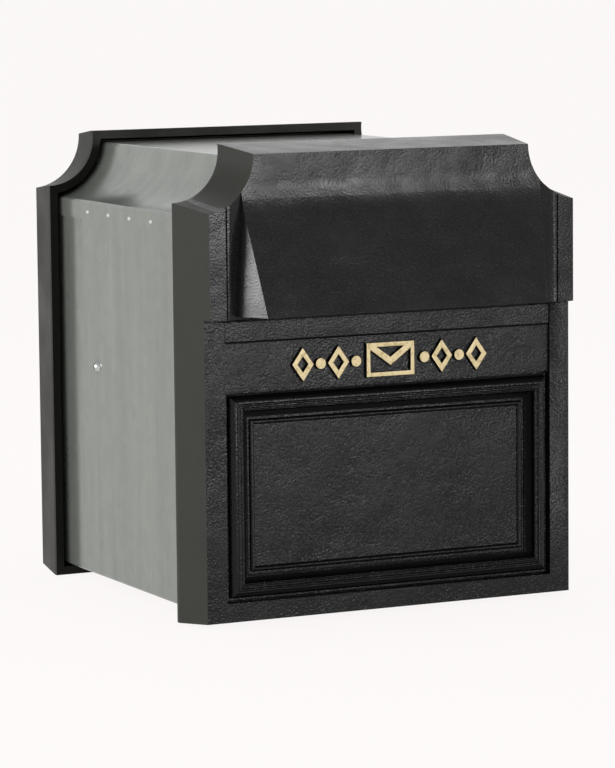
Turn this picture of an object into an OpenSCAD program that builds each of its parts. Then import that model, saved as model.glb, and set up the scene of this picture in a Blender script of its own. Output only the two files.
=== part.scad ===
// Telescopic post box that runs through a wall: a hooded front casting, a sleeve of two
// folded steel tubes that slide in each other, and a rear casting with a locked door.
// The front looks to -Y, +Z is up, and the origin is under the middle of the whole box.

/* [Castings] */
// Width of both castings where they meet the wall
case_w = 338; // [320:1:410]
// Height of both castings
case_h = 381.5; // [360:0.5:460]
// Radius of the hollow shoulders at the wall side
shoulder_r = 40.5; // [34:0.5:49]
// Upright lip between a hollow shoulder and the top
shoulder_lip = 5; // [2:0.5:8]
// Draft of the cast sides, in degrees
draft = 6.3; // [4:0.1:9]
// Straight land round the rim of a casting before its draft starts
rim_land = 4; // [2:0.5:6]
// Thickness of the cast side walls
wall_t = 7; // [5:0.5:8]
// Thickness of the cast faces
face_t = 6; // [4:0.5:8]

/* [Front casting] */
// Depth of the lower plate in front of the wall
plate_depth = 48; // [44:1:58]
// Depth of the side strips beside the hood
block_depth = 58; // [54:1:64]
// Height of the underside of the strips and hood
block_z = 246.5; // [240:0.5:252]
// Reach of the hood's lip in front of the wall
hood_reach = 83; // [76:1:96]
// Height of the hood's lip
hood_lip_z = 249; // [247:0.5:254]
// Radius of the blend above the slope of the hood
hood_blend = 90; // [60:1:120]
// Height at which the hood starts to slope forward
hood_knee_z = 332; // [325:1:336]
// Thickness of the hood's shell
hood_t = 6; // [4:0.5:8]
// Half width of the hood where it leaves the field
hood_half = 134; // [120:1:138]
// Slope of the hood's cheeks, in degrees from straight ahead
cheek_angle = 18.5; // [10:0.5:24]
// Height of the sill that the letters pass over
sill_z = 266; // [258:1:280]

/* [Front ornament] */
// Width of the plain strip beside the hood
strip_w = 14; // [10:0.5:18]
// Width of the groove beside the strip
groove_w = 1.4; // [1:0.1:2.5]
// Width of the thin fillet inside the groove
fillet_w = 3; // [2:0.5:5]
// Drop of the field behind the face of the strips
field_drop = 3; // [2:0.5:4]
// Half width of the sunk field below the hood
field_half = 146.5; // [130:0.5:150]
// Height of the bottom of the sunk field
field_z0 = 20; // [16:0.5:26]
// Height of the top of the sunk field
field_z1 = 227.5; // [222:0.5:232]
// Drop of the rail above the sunk band
rail_drop = 1; // [0.5:0.1:2]
// Depth of the band that holds the gilt ornament
band_sink = 3; // [2:0.5:4]
// Depth of the panel inside the moulding
field_sink = 7; // [5:0.5:8]
// Height of the top edge of the panel moulding
moulding_z1 = 188.5; // [180:0.5:194]
// Width of the panel moulding
moulding_w = 27.5; // [25:0.5:31]
// Height of the middle of the gilt ornament
gilt_z = 207; // [204:0.5:210]
// Height of the raised gilt ornament's relief
gilt_relief = 3; // [2:0.5:4]

/* [Sleeve] */
// Distance between the wall faces of the two castings when closed
wall_span = 255; // [210:1:306]
// Sheet thickness of the sleeve
sheet_t = 1.2; // [0.8:0.1:1.5]
// Room between the inside of a casting's rim and the outer sleeve
sleeve_room = 3; // [2.5:0.5:5]
// Room between the sides of the two sleeves
slide_gap = 2; // [1.8:0.1:3]
// Running clearance under and over the inner sleeve
slide_fit = 0.3; // [0.2:0.1:0.6]
// Travel of the rear casting as the box is drawn out
travel = 120; // [80:1:130]
// Height of the flange that folds down outside the sides
flange_h = 15.5; // [14:0.5:18]

/* [Fastenings] */
// Number of rivets along each side of a sleeve
rivet_n = 4; // [3:1:6]
// Distance of the first rivet behind the front wall face
rivet_y0 = 65; // [50:1:75]
// Distance between rivets
rivet_pitch = 44; // [30:1:46]
// Distance of the slide lock screws behind the front wall face
lock_screw_y = 183; // [170:1:195]
// Height of the slide lock screws
lock_screw_z = 187.5; // [150:0.5:230]
// Radius of the screw shanks
screw_r = 2.5; // [2:0.1:3]

/* [Rear casting and door] */
// Depth of the rear casting behind the wall
rear_depth = 42; // [40:1:52]
// Width of the door
door_w = 240; // [210:1:260]
// Height of the door
door_h = 270; // [230:1:280]
// Height of the middle of the door
door_z = 185; // [178:1:190]
// Overlap of the door on its frame
door_lap = 9; // [7:0.5:12]
// Thickness of the door in its sunk middle
door_t = 5; // [4:0.5:6]
// Height of the door's border above its sunk middle
border_h = 3; // [2:0.5:4]
// Width of the door's border
border_w = 20; // [14:1:22]
// Gap between the door and its frame
door_gap = 0.4; // [0.3:0.1:0.8]
// Radius of the hinge pins
pin_r = 2.5; // [2:0.1:3]
// Distance of each hinge from the middle of the door
hinge_offset = 85; // [60:1:100]
// Distance of the lock from the edge of the door opening
lock_inset = 27; // [22:0.5:30]

/* [Hidden] */
$fn = 64;

// How far a cutting shape runs past the face that it opens
over = 1;

// Colours
paint_black = "#17181A";
paint_side = "#3A3C38";
zinc = "#A3A8A8";
zinc_dark = "#8E9494";
steel = "#B9BCC0";
brass = "#C2A24E";

// Places worked out from the driving sizes
slope = tan(draft);
field_depth = block_depth - field_drop;
field_floor = plate_depth - field_sink;
band_floor = plate_depth - band_sink;
panel_back = field_floor - face_t + over;
rail_back = plate_depth - face_t;
block_half = case_w / 2 - (block_depth - rim_land) * slope;
strip_in = block_half - strip_w - groove_w - fillet_w;
hood_rise = (hood_reach - block_depth) / (hood_knee_z - hood_lip_z);
hood_shift = hood_t * sqrt(1 + hood_rise * hood_rise);
rear_face = wall_span + rear_depth;
door_y = rear_face + door_gap;
knuckle_r = pin_r + 2.7;
pin_fit = 0.05;
hinge_y = rear_face + door_gap + knuckle_r;
hinge_x = -door_w / 2 - knuckle_r - 1.3;
back_reach = hinge_y + knuckle_r;
y_shift = (hood_reach - back_reach) / 2;

// Sleeve places: the roof sheet laps outside the tub's sides
seat_gap = 0.3;
sleeve_inset = wall_t + sleeve_room;
sleeve_z = sleeve_inset - 1;
shoulder_top = case_h - shoulder_lip;
outer_side = sleeve_inset + sheet_t;
inner_side = outer_side + sheet_t + slide_gap;
inner_tub_side = inner_side + sheet_t;
inner_z = sleeve_z + sheet_t + slide_fit;
inner_top = sleeve_inset + sheet_t + 2 * slide_fit;
outer_front = -rim_land - (sleeve_z - wall_t - seat_gap) / slope;
outer_back = wall_span + 12;
inner_front = 35;
inner_back = wall_span + rim_land + (inner_z - wall_t - seat_gap) / slope;
inner_flange_h = flange_h + 17;
sleeve_arc = 1;
bend_r = 2 * sheet_t;
roof_seam = bend_r;
rivet_r = 1.6;
rivet_head_r = 3;
rivet_head_h = 1.3;
rivet_tail_h = 1;
rivet_drop = 9.5;

// Fixing pads between a casting and its sleeve
pad_half = 11;
pad_depth = 14;
pad_z = [70, 270];
front_pad_y = -pad_depth - 2;
rear_pad_y = wall_span + 13;
tap_depth = 6;
screw_fit = 0.05;
head_r = 4.2;
head_h = 2.2;

// Slide lock screws
lock_head_r = 4.75;
lock_head_h = 3.4;
lock_head_slot = 1.3;
lock_slot_h = screw_r + 0.5;
washer_t = 1;
washer_r = 5.5;
nut_t = 4;
nut_r = 4.6;

// Cam lock
lock_x = door_w / 2 - door_lap - lock_inset;
lock_y = door_y + door_t;
lock_barrel_r = 9.5;
lock_flat = 8;
lock_head_flange_r = 12;
lock_head_flange_h = 2.4;
plug_r = 6;
lock_nut_t = 3.4;
lock_nut_r = 13.5;
cam_gap = 0.5;
cam_t = 2.5;
cam_y = rear_face - face_t - cam_gap - cam_t;
cam_w = 15;
cam_reach = lock_inset + 8;
tang_half = 3;
key_w = 1.6;
key_h = 7.5;
key_depth = 7;
barrel_back = cam_y + cam_t + 0.2;

// General helpers
module place() {
    translate([0, y_shift, 0]) children();
}

// A block between two corners
module block(low, high) {
    translate(low) cube(high - low);
}

// A plan outline drawn in X and Y, raised from one height to another
module raised(z0, z1) {
    translate([0, 0, z0]) linear_extrude(z1 - z0) children();
}

// A side view drawn as distance forward and height, run across the box
module across(width) {
    rotate([90, 0, -90]) linear_extrude(width, center = true) children();
}

// A front view drawn in X and Z, run back from one depth to another
module run_back(y0, y1) {
    translate([0, y1, 0]) rotate([90, 0, 0]) linear_extrude(y1 - y0) children();
}

// A bolt axis along X, its local Z pointing out of the given side
module out_of_side(side, x, y, z) {
    translate([side * x, y, z]) rotate([0, side * 90, 0]) children();
}

// Both sides of the box
module both_sides() {
    for (side = [-1, 1]) mirror([side < 0 ? 1 : 0, 0, 0]) children();
}

// Low dome, flat side on Z = 0
module dome(r, h) {
    ball = (r * r + h * h) / (2 * h);
    intersection() {
        translate([0, 0, h - ball]) sphere(ball);
        cylinder(h = h, r = r + over);
    }
}

// Height at which a hollow shoulder of radius r meets the plane at X = x
function shoulder_z(r, x) = shoulder_top - sqrt(r * r - pow(case_w / 2 - x, 2));

// Distance from the side of the case at which such a shoulder is at height z
function shoulder_run(r, z) = sqrt(r * r - pow(shoulder_top - z, 2));

// Castings
// Cuts that hollow the two top corners, widening with the draft
module shoulder_cuts(depth, inset) {
    r = shoulder_r + inset;
    reach = depth + over;
    for (side = [-1, 1])
        translate([side * case_w / 2, 0, shoulder_top]) rotate([90, 0, 0])
            rotate_extrude() polygon([
                [0, -over], [r, -over], [r, rim_land],
                [r + (reach - rim_land) * slope, reach], [0, reach]
            ]);
}

// Block with a straight rim and drafted sides, running forward from the wall face
module drafted_block(depth, inset, back) {
    taper = (depth - rim_land) * slope;
    half = case_w / 2 - inset;
    low = inset;
    high = case_h - inset;
    intersection() {
        raised(0, case_h) polygon([
            [half, back], [half, -rim_land], [half - taper, -depth],
            [taper - half, -depth], [-half, -rim_land], [-half, back]
        ]);
        across(case_w) polygon([
            [-back, low], [rim_land, low], [depth, low + taper],
            [depth, high - taper], [rim_land, high], [-back, high]
        ]);
    }
}

// Drafted block with its two hollow shoulders
module tray(depth, inset, back) {
    difference() {
        drafted_block(depth, inset, back);
        shoulder_cuts(depth, inset);
    }
}

// Side view of the hood, moved back by shift for its inner face
module hood_view(shift) {
    low_z = shift > 0 ? block_z - over : hood_lip_z;
    lip = hood_reach - shift + (hood_lip_z - low_z) * hood_rise;
    face = field_depth - shift;
    knee = block_depth - shift;
    knee_top = hood_knee_z + (knee - face) / hood_rise;
    polygon([
        [face - over, low_z], [lip, low_z], [knee, hood_knee_z],
        [face, knee_top], [face - over, knee_top]
    ]);
}

// Side view of the blend between the upright field and the hood's slope
module blend_view() {
    lean = atan(hood_rise);
    run = hood_blend * tan(lean / 2);
    knee_top = hood_knee_z + field_drop / hood_rise;
    foot = [field_depth + run * sin(lean), knee_top - run * cos(lean)];
    difference() {
        polygon([
            [field_depth - over, knee_top + run], [field_depth, knee_top + run],
            [foot[0] + 0.05, foot[1] + 0.3], foot, [field_depth - over, foot[1]]
        ]);
        translate([field_depth + hood_blend, knee_top + run]) circle(hood_blend, $fn = 360);
    }
}

// Plan of the hood between its drafted cheeks
module hood_plan(shift) {
    root = field_depth - face_t - over;
    rate = tan(cheek_angle);
    tip = hood_reach + over;
    half = hood_half - shift;
    lip_half = half - (tip - field_depth) * rate;
    polygon([
        [half, -root], [half, -field_depth], [lip_half, -tip],
        [-lip_half, -tip], [-half, -field_depth], [-half, -root]
    ]);
}

// Hood solid, or with a shift the hollow inside it
module hood(shift) {
    intersection() {
        raised(block_z - over, case_h) hood_plan(shift);
        across(case_w) hood_view(shift);
    }
}

// Blend above the hood's slope
module hood_fillet() {
    intersection() {
        raised(block_z, case_h) hood_plan(0);
        across(case_w) blend_view();
    }
}

// Field between the strips, let in with sloping edges
module field_cut() {
    raised(block_z - over, case_h) polygon([
        [strip_in, -block_depth - over], [strip_in, -block_depth], [hood_half, -field_depth],
        [-hood_half, -field_depth], [-strip_in, -block_depth], [-strip_in, -block_depth - over]
    ]);
}

// Groove between each strip and its thin fillet
module strip_grooves() {
    x0 = strip_in + fillet_w;
    both_sides() block(
        [x0, -block_depth - over, block_z - over],
        [x0 + groove_w, groove_w - block_depth, case_h]
    );
}

// Section of the panel moulding: across from its outer edge, and up from the sunk field
module moulding_section() {
    quirk = 1.8;
    fillet = 1.6;
    ovolo_r = 6;
    reed_r = 1.2;
    reed_gap = 0.6;
    cove_r = 6.4;
    bead_r = 2.2;
    step = 2.2;
    ovolo_s = quirk + fillet + ovolo_r;
    ridge_h = step + ovolo_r;
    reed_s = ovolo_s + reed_r;
    second_s = reed_s + 2 * reed_r + reed_gap;
    cove_s = second_s + reed_r;
    translate([quirk, 0]) square([fillet, step]);
    translate([ovolo_s - ovolo_r, 0]) square([ovolo_r, step + 0.1]);
    translate([ovolo_s, step]) intersection() {
        circle(ovolo_r);
        translate([-ovolo_r, 0]) square(ovolo_r);
    }
    translate([ovolo_s - 0.1, 0]) square([cove_s - ovolo_s + 0.1, ridge_h - reed_r / 2]);
    translate([reed_s, ridge_h - reed_r / 2]) circle(reed_r);
    translate([second_s, ridge_h - reed_r]) circle(reed_r);
    difference() {
        translate([cove_s - 0.1, 0]) square([cove_r + 0.1, ridge_h - reed_r]);
        translate([cove_s + cove_r, ridge_h - reed_r]) circle(cove_r - 0.2);
    }
    translate([moulding_w - bead_r, 0]) intersection() {
        circle(bead_r);
        translate([-bead_r, 0]) square([2 * bead_r, bead_r]);
    }
}

// One mitred length of the moulding, its outer edge on Z = 0
module moulding_length(length) {
    half = length / 2;
    intersection() {
        rotate([0, -90, 180]) linear_extrude(length, center = true) moulding_section();
        rotate([90, 0, 0]) linear_extrude(2 * field_sink) polygon([
            [-half, 0], [half, 0], [half - moulding_w, moulding_w], [moulding_w - half, moulding_w]
        ]);
    }
}

// Mitred frame of moulding on the sunk field
module panel_moulding() {
    width = 2 * field_half;
    height = moulding_z1 - field_z0;
    middle = (moulding_z1 + field_z0) / 2;
    translate([0, -field_floor, field_z0]) moulding_length(width);
    translate([0, -field_floor, moulding_z1]) rotate([0, 180, 0]) moulding_length(width);
    translate([-field_half, -field_floor, middle]) rotate([0, 90, 0]) moulding_length(height);
    translate([field_half, -field_floor, middle]) rotate([0, -90, 0]) moulding_length(height);
}

// Gilt ornament: an envelope between lozenges and roundels
module gilt_view() {
    env_w = 44;
    env_h = 28;
    line = 4.2;
    gap = 4;
    lozenge_w = 20;
    roundel_r = 4.8;
    difference() {
        square([env_w, env_h], center = true);
        square([env_w - 2 * line, env_h - 2 * line], center = true);
    }
    for (side = [-1, 1]) mirror([side < 0 ? 1 : 0, 0]) {
        polygon([
            [env_w / 2 - 1.5 * line, env_h / 2 - over], [env_w / 2 - over, env_h / 2 - line],
            [0, -1.3 * line], [0, line / 2]
        ]);
        for (i = [0, 1]) {
            roundel_x = env_w / 2 + gap + roundel_r + i * (lozenge_w + 2 * roundel_r + 2);
            lozenge_x = roundel_x + roundel_r + 1 + lozenge_w / 2;
            translate([roundel_x, 0]) circle(roundel_r);
            translate([lozenge_x, 0]) difference() {
                polygon([[-lozenge_w / 2, 0], [0, env_h / 2], [lozenge_w / 2, 0], [0, -env_h / 2]]);
                polygon([[-line, 0], [0, 1.4 * line], [line, 0], [0, -1.4 * line]]);
            }
        }
    }
}

module gilt_ornament() {
    translate([0, 0, gilt_z]) run_back(-band_floor - gilt_relief, -band_floor + over / 2) gilt_view();
}

// Pads that the sleeve is screwed to, and their tapped holes
module pads(y, x_in, x_out) {
    both_sides() for (z = pad_z)
        block([x_in, y, z - pad_half], [x_out, y + pad_depth, z + pad_half]);
}

module pad_holes(y, x_in) {
    for (side = [-1, 1], z = pad_z)
        out_of_side(side, x_in - over, y + pad_depth / 2, z)
            cylinder(h = tap_depth + over, r = screw_r + screw_fit);
}

module front_casting() {
    pad_out = case_w / 2 - wall_t + 1;
    color(paint_black) place() {
        difference() {
            union() {
                difference() {
                    union() {
                        difference() {
                            drafted_block(block_depth, 0, 0);
                            block(
                                [-case_w, -block_depth - over, -over],
                                [case_w, -plate_depth, block_z]
                            );
                            field_cut();
                            strip_grooves();
                        }
                        hood(0);
                        hood_fillet();
                    }
                    shoulder_cuts(hood_reach, 0);
                    difference() {
                        tray(field_depth - face_t, wall_t, over);
                        block([-case_w, -case_w, 0], [case_w, -panel_back, field_z1 + face_t]);
                        block([-case_w, -case_w, 0], [case_w, -rail_back, sill_z]);
                    }
                    difference() {
                        hood(hood_shift);
                        block([-case_w, -plate_depth, 0], [case_w, 0, sill_z]);
                    }
                }
                pads(front_pad_y, case_w / 2 - outer_side, pad_out);
            }
            block(
                [-field_half, -plate_depth - over, field_z0],
                [field_half, -field_floor, moulding_z1]
            );
            block(
                [-field_half, -plate_depth - over, moulding_z1 - over],
                [field_half, -band_floor, field_z1]
            );
            block(
                [-field_half, -plate_depth - over, field_z1 - over],
                [field_half, rail_drop - plate_depth, block_z]
            );
            pad_holes(front_pad_y, case_w / 2 - outer_side);
        }
        panel_moulding();
        gilt_ornament();
    }
}

// Corner to take off so that a fold of radius r is left round the given centre
module fold_cut(centre, foot, tip, heel, r) {
    difference() {
        polygon([centre, foot, tip, heel]);
        translate(centre) circle(r);
    }
}

// Outline of a sleeve: flat sides and base, hollow shoulders that follow the castings
module sleeve_view(side, base, top, bend) {
    arc_r = shoulder_r + top + sleeve_arc;
    edge_x = case_w / 2 - side;
    roof_z = case_h - top;
    up = [case_w / 2 - shoulder_run(arc_r + bend, roof_z - bend), roof_z - bend];
    out = [edge_x - bend, shoulder_z(arc_r + bend, edge_x - bend)];
    hub = [case_w / 2, shoulder_top];
    share = arc_r / (arc_r + bend);
    difference() {
        translate([-edge_x, base]) square([2 * edge_x, roof_z - base]);
        for (end = [-1, 1]) mirror([end < 0 ? 1 : 0, 0]) {
            translate(hub) circle(arc_r, $fn = 180);
            fold_cut(up, [up[0], roof_z], [up[0] + bend, roof_z + bend], hub + share * (up - hub), bend);
            fold_cut(out, [edge_x, out[1]], [edge_x + bend, out[1] + bend], hub + share * (out - hub), bend);
            fold_cut(
                [edge_x - bend, base + bend], [edge_x - bend, base],
                [edge_x + bend, base - bend], [edge_x, base + bend], bend
            );
        }
    }
}

// Folded base and sides of a sleeve
module tub(side, base, top, y0, y1) {
    edge_x = case_w / 2 - side;
    edge = shoulder_z(shoulder_r + sleeve_arc + top + sheet_t, edge_x) - roof_seam;
    run_back(y0, y1) intersection() {
        difference() {
            sleeve_view(side, base, top, bend_r);
            sleeve_view(side + sheet_t, base + sheet_t, -over, bend_r - sheet_t);
            translate([-edge_x + sheet_t, edge - over]) square([2 * (edge_x - sheet_t), case_h]);
        }
        translate([-case_w, 0]) square([2 * case_w, edge]);
    }
}

// Folded roof of a sleeve, with flanges down the outside of the tub
module roof(side, top, flange, y0, y1) {
    edge = shoulder_z(shoulder_r + sleeve_arc + top, case_w / 2 - side) - flange;
    run_back(y0, y1) difference() {
        sleeve_view(side, 0, top, bend_r);
        sleeve_view(side + sheet_t, -over, top + sheet_t, bend_r - sheet_t);
        translate([-case_w, -over]) square([2 * case_w, edge + over]);
    }
}

// Rivet with its head outside the roof's flange and its tail inside the tub
module rivet() {
    dome(rivet_head_r, rivet_head_h);
    translate([0, 0, -2 * sheet_t - rivet_tail_h / 2])
        cylinder(h = 2 * sheet_t + rivet_tail_h / 2, r = rivet_r - screw_fit);
    translate([0, 0, -2 * sheet_t - rivet_tail_h]) cylinder(h = rivet_tail_h, r = rivet_head_r - 0.6);
}

module rivet_row(side, z, y0) {
    for (end = [-1, 1], i = [0 : rivet_n - 1])
        out_of_side(end, case_w / 2 - side, y0 + i * rivet_pitch, z) children();
}

module rivet_holes(side, z, y0) {
    rivet_row(side, z, y0) translate([0, 0, -4 * sheet_t]) cylinder(h = 8 * sheet_t, r = rivet_r);
}

outer_rivet_z = shoulder_z(shoulder_r + sleeve_arc + sleeve_inset, case_w / 2 - sleeve_inset) - rivet_drop;
inner_rivet_z = shoulder_z(shoulder_r + sleeve_arc + inner_top, case_w / 2 - inner_side)
    - inner_flange_h + rivet_drop;
inner_rivet_y0 = inner_front + 22;

module outer_tub() {
    color(zinc) place() difference() {
        tub(outer_side, sleeve_z, sleeve_inset, outer_front, outer_back);
        rivet_holes(sleeve_inset, outer_rivet_z, rivet_y0);
        for (side = [-1, 1]) {
            out_of_side(side, case_w / 2 - outer_side - 2 * sheet_t, lock_screw_y, lock_screw_z)
                cylinder(h = 4 * sheet_t, r = screw_r + 2 * screw_fit);
            for (z = pad_z)
                out_of_side(
                    side, case_w / 2 - outer_side - 2 * sheet_t, front_pad_y + pad_depth / 2, z
                ) cylinder(h = 4 * sheet_t, r = screw_r + 2 * screw_fit);
        }
    }
}

module outer_roof() {
    color(zinc) place() difference() {
        roof(sleeve_inset, sleeve_inset, flange_h, outer_front, outer_back);
        rivet_holes(sleeve_inset, outer_rivet_z, rivet_y0);
    }
}

module outer_rivets() {
    color(steel) place() rivet_row(sleeve_inset, outer_rivet_z, rivet_y0) rivet();
}

// Pan head screw, its seat on Z = 0 and its shank towards +Z
module pan_screw(length) {
    mirror([0, 0, 1]) difference() {
        dome(head_r, head_h);
        translate([-head_r, -0.6, head_h / 2]) cube([2 * head_r, 1.2, head_h]);
    }
    cylinder(h = length, r = screw_r);
}

module sleeve_screws(y, x_seat) {
    for (side = [-1, 1], z = pad_z)
        out_of_side(side, x_seat, y + pad_depth / 2, z) pan_screw(sheet_t + tap_depth - 0.5);
}

module front_sleeve_screws() {
    color(steel) place() sleeve_screws(front_pad_y, case_w / 2 - outer_side - sheet_t);
}

// Slide lock: screw from outside, washer and nut inside the inner sleeve
lock_washer_x = case_w / 2 - inner_tub_side - sheet_t - slide_fit;

module slide_lock_screws() {
    seat = case_w / 2 - outer_side;
    shank = seat - lock_washer_x + washer_t + nut_t + 1.5;
    color(steel) place() for (side = [-1, 1])
        out_of_side(side, seat, lock_screw_y, lock_screw_z) {
            difference() {
                dome(lock_head_r, lock_head_h);
                translate([-lock_head_r, -lock_head_slot / 2, lock_head_h / 2])
                    cube([2 * lock_head_r, lock_head_slot, lock_head_h]);
            }
            translate([0, 0, -shank]) cylinder(h = shank, r = screw_r);
        }
}

module slide_lock_washers() {
    color(zinc_dark) place() for (side = [-1, 1])
        out_of_side(side, lock_washer_x - washer_t, lock_screw_y, lock_screw_z) difference() {
            cylinder(h = washer_t, r = washer_r);
            translate([0, 0, -over]) cylinder(h = washer_t + 2 * over, r = screw_r + 2 * screw_fit);
        }
}

module slide_lock_nuts() {
    color(steel) place() for (side = [-1, 1])
        out_of_side(side, lock_washer_x - washer_t - nut_t, lock_screw_y, lock_screw_z) difference() {
            cylinder(h = nut_t, r = nut_r, $fn = 6);
            translate([0, 0, -over]) cylinder(h = nut_t + 2 * over, r = screw_r + screw_fit);
        }
}

// Slot in the side of the inner sleeve that the slide lock screw runs in
module slide_slots() {
    depth = 8 * sheet_t;
    for (side = [-1, 1]) translate([side * (case_w / 2 - inner_tub_side), 0, lock_screw_z]) {
        for (y = [lock_screw_y - travel - 1, lock_screw_y + 1])
            translate([-depth / 2, y, 0]) rotate([0, 90, 0]) cylinder(h = depth, r = lock_slot_h);
        block(
            [-depth / 2, lock_screw_y - travel - 1, -lock_slot_h],
            [depth / 2, lock_screw_y + 1, lock_slot_h]
        );
    }
}

module inner_tub() {
    color(zinc_dark) place() difference() {
        tub(inner_tub_side, inner_z, inner_top, inner_front, inner_back);
        rivet_holes(inner_side, inner_rivet_z, inner_rivet_y0);
        slide_slots();
        for (side = [-1, 1], z = pad_z)
            out_of_side(
                side, case_w / 2 - inner_tub_side - 2 * sheet_t, rear_pad_y + pad_depth / 2, z
            ) cylinder(h = 4 * sheet_t, r = screw_r + 2 * screw_fit);
    }
}

module inner_roof() {
    color(zinc_dark) place() difference() {
        roof(inner_side, inner_top, inner_flange_h, inner_front, inner_back);
        rivet_holes(inner_side, inner_rivet_z, inner_rivet_y0);
    }
}

module inner_rivets() {
    color(steel) place() rivet_row(inner_side, inner_rivet_z, inner_rivet_y0) rivet();
}

module rear_sleeve_screws() {
    color(steel) place() sleeve_screws(rear_pad_y, case_w / 2 - inner_tub_side - sheet_t);
}

// Rear casting, door and hinges
module mirrored_tray(depth, inset, back) {
    translate([0, wall_span, 0]) mirror([0, 1, 0]) tray(depth, inset, back);
}

knuckle_h = 14;
knuckle_gap = 0.4;

// Knuckles of a hinge: the two outer ones on the frame, the middle one on the door
module frame_knuckles(z) {
    for (end = [-1, 1]) {
        low = z + end * (knuckle_h + knuckle_gap) - knuckle_h / 2;
        translate([hinge_x, hinge_y, low]) cylinder(h = knuckle_h, r = knuckle_r);
        block([hinge_x - knuckle_r, rear_face - over, low], [hinge_x + knuckle_r, hinge_y, low + knuckle_h]);
    }
}

module door_knuckle(z) {
    low = z - knuckle_h / 2;
    translate([hinge_x, hinge_y, low]) cylinder(h = knuckle_h, r = knuckle_r);
    block([hinge_x, door_y, low], [over - door_w / 2, door_y + door_t, low + knuckle_h]);
}

module hinge_bore(z) {
    translate([hinge_x, hinge_y, z - 2 * knuckle_h]) cylinder(h = 4 * knuckle_h, r = pin_r + pin_fit);
}

module rear_casting() {
    half_w = door_w / 2 - door_lap;
    half_h = door_h / 2 - door_lap;
    color(paint_side) place() difference() {
        union() {
            difference() {
                mirrored_tray(rear_depth, 0, 0);
                mirrored_tray(rear_depth - face_t, wall_t, over);
            }
            pads(rear_pad_y, case_w / 2 - inner_tub_side, case_w / 2 - wall_t);
            for (end = [-1, 1]) frame_knuckles(door_z + end * hinge_offset);
        }
        block([-half_w, wall_span, door_z - half_h], [half_w, rear_face + over, door_z + half_h]);
        pad_holes(rear_pad_y, case_w / 2 - inner_tub_side);
        for (end = [-1, 1]) hinge_bore(door_z + end * hinge_offset);
    }
}

// Sunk middle of the door, with sides at 45 degrees
module door_sinking() {
    half_w = door_w / 2 - border_w;
    half_h = door_h / 2 - border_w;
    y0 = door_y + door_t;
    y1 = y0 + border_h + over;
    grow = border_h + over;
    intersection() {
        raised(0, case_h) polygon([
            [-half_w, y0], [half_w, y0], [half_w + grow, y1], [-half_w - grow, y1]
        ]);
        across(door_w) polygon([
            [-y0, door_z - half_h], [-y0, door_z + half_h],
            [-y1, door_z + half_h + grow], [-y1, door_z - half_h - grow]
        ]);
    }
}

module rear_door() {
    color(paint_side) place() difference() {
        union() {
            block(
                [-door_w / 2, door_y, door_z - door_h / 2],
                [door_w / 2, door_y + door_t + border_h, door_z + door_h / 2]
            );
            for (end = [-1, 1]) door_knuckle(door_z + end * hinge_offset);
        }
        door_sinking();
        for (end = [-1, 1]) hinge_bore(door_z + end * hinge_offset);
        lock_axis() lock_barrel_shape(-door_t - over, over, lock_barrel_r + screw_fit, lock_flat + screw_fit);
    }
}

module hinge_pin(z) {
    pin_top = z + 1.5 * knuckle_h + knuckle_gap;
    translate([hinge_x, hinge_y, pin_top]) dome(pin_r + 1.5, 1.6);
    translate([hinge_x, hinge_y, z - 1.5 * knuckle_h - knuckle_gap])
        cylinder(h = 3 * knuckle_h + 2 * knuckle_gap, r = pin_r);
}

module hinge_pin_upper() {
    color(steel) place() hinge_pin(door_z + hinge_offset);
}

module hinge_pin_lower() {
    color(steel) place() hinge_pin(door_z - hinge_offset);
}

// Cam lock, its axis along Y and its local Z pointing out of the door
module lock_axis() {
    translate([lock_x, lock_y, door_z]) rotate([-90, 0, 0]) children();
}

// Round barrel with two flats that stop it turning in the door
module lock_barrel_shape(z0, z1, r, flat) {
    intersection() {
        translate([0, 0, z0]) cylinder(h = z1 - z0, r = r);
        block([-flat, -r - over, z0 - over], [flat, r + over, z1 + over]);
    }
}

module lock_body() {
    low = barrel_back - lock_y;
    color(steel) place() lock_axis() difference() {
        union() {
            cylinder(h = lock_head_flange_h, r1 = lock_head_flange_r, r2 = lock_head_flange_r - 1.2);
            lock_barrel_shape(low, over, lock_barrel_r, lock_flat);
        }
        translate([0, 0, low - over])
            cylinder(h = lock_head_flange_h - low + 2 * over, r = plug_r + pin_fit);
    }
}

module lock_nut() {
    color(zinc_dark) place() lock_axis() translate([0, 0, -door_t - lock_nut_t]) difference() {
        cylinder(h = lock_nut_t, r = lock_nut_r, $fn = 6);
        translate([0, 0, -over]) cylinder(h = lock_nut_t + 2 * over, r = lock_barrel_r + screw_fit);
    }
}

module lock_plug() {
    low = cam_y + cam_t - lock_y;
    tang_low = low - cam_t + 0.1;
    color(brass) place() lock_axis() difference() {
        union() {
            translate([0, 0, low]) cylinder(h = lock_head_flange_h - 0.3 - low, r = plug_r);
            block([-tang_half, -tang_half, tang_low], [tang_half, tang_half, low + over]);
        }
        block(
            [-key_w / 2, -key_h / 2, lock_head_flange_h - key_depth],
            [key_w / 2, key_h / 2, lock_head_flange_h + over]
        );
        translate([0, 0, tang_low - over]) cylinder(h = 4 + over, r = 1.5 + screw_fit);
    }
}

module lock_cam() {
    tip = cam_reach - cam_w / 2;
    color(zinc) place() lock_axis() translate([0, 0, cam_y - lock_y]) difference() {
        union() {
            cylinder(h = cam_t, r = cam_w / 2 + 1);
            block([-cam_w / 2, -tip, 0], [cam_w / 2, 0, cam_t]);
            translate([0, -tip, 0]) cylinder(h = cam_t, r = cam_w / 2);
        }
        block(
            [-tang_half - screw_fit, -tang_half - screw_fit, -over],
            [tang_half + screw_fit, tang_half + screw_fit, cam_t + over]
        );
    }
}

module cam_washer() {
    color(zinc_dark) place() lock_axis() translate([0, 0, cam_y - lock_y - washer_t]) difference() {
        cylinder(h = washer_t, r = 5);
        translate([0, 0, -over]) cylinder(h = washer_t + 2 * over, r = 1.6);
    }
}

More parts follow.
